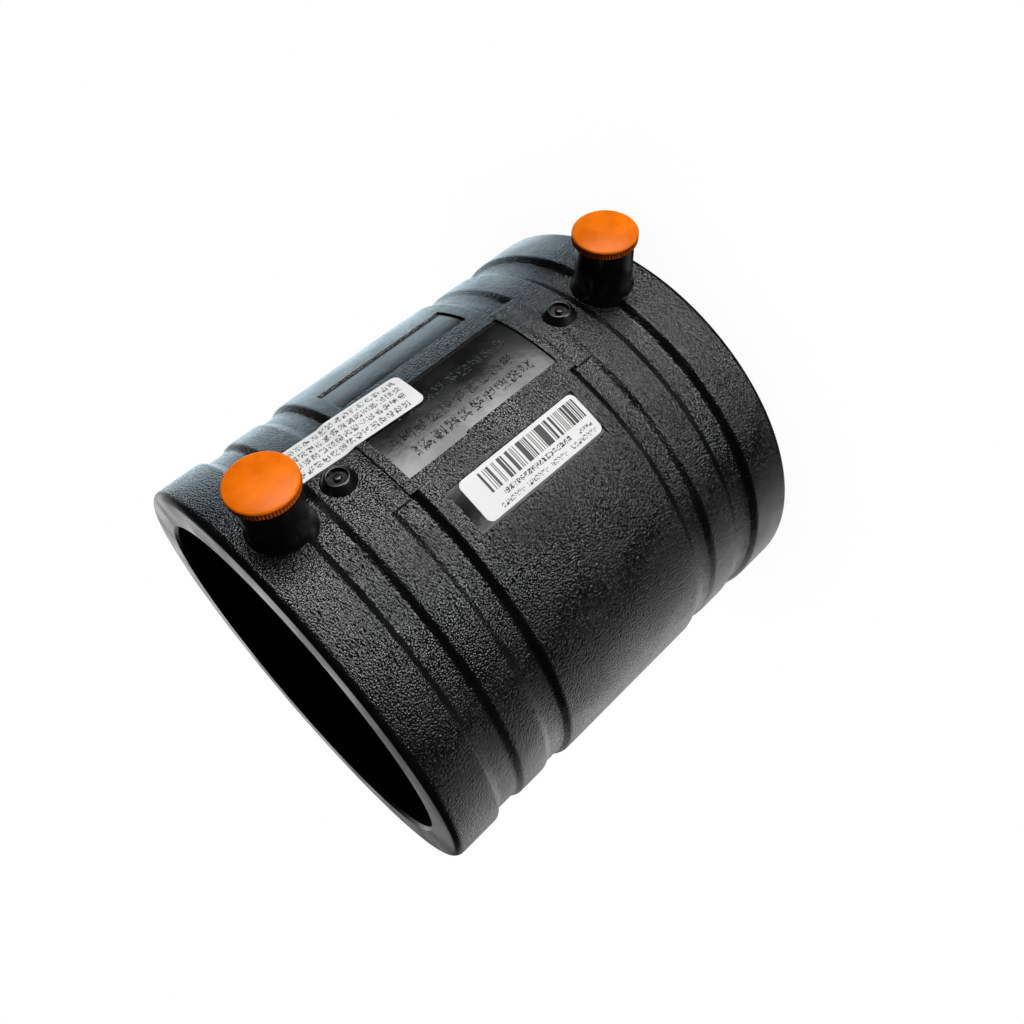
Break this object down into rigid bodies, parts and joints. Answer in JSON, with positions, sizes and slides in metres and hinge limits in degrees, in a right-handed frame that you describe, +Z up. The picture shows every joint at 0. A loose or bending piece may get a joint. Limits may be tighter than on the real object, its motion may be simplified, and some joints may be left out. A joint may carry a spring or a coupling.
{
  "type": "electrofusion coupler",
  "caption": "Moulded black pipe sleeve with stepped bands, heating winding in both sockets, shrouded terminals with orange push caps, fusion indicators and paper labels.",
  "frame": {"origin": "centre of the bore in the plane of the lower mouth, on which the coupler stands", "axes": "+Z up along the bore towards the upper mouth, +X along the terminals away from the bore, +Y completes a right-handed frame"},
  "size_m": [0.1505, 0.1328, 0.14],
  "materials": {
    "black_polyethylene": "fine spark-eroded grain, satin",
    "coated_wire": "smooth turns of plastic-coated resistance wire",
    "terminal_brass": "turned",
    "orange_cap": "glossy moulded plastic",
    "indicator_black": "glossy moulded plastic",
    "label_paper": "coated white label paper"
  },
  "bodies": {
    "root": {"sleeve": "black_polyethylene", "heating_winding": "coated_wire", "terminal_pin_lower": "terminal_brass", "terminal_pin_upper": "terminal_brass", "terminal_cap_lower": "orange_cap", "terminal_cap_upper": "orange_cap", "indicator_pin_lower": "indicator_black", "indicator_pin_upper": "indicator_black", "data_label": "label_paper", "notice_label": "label_paper"}
  },
  "joints": []
}
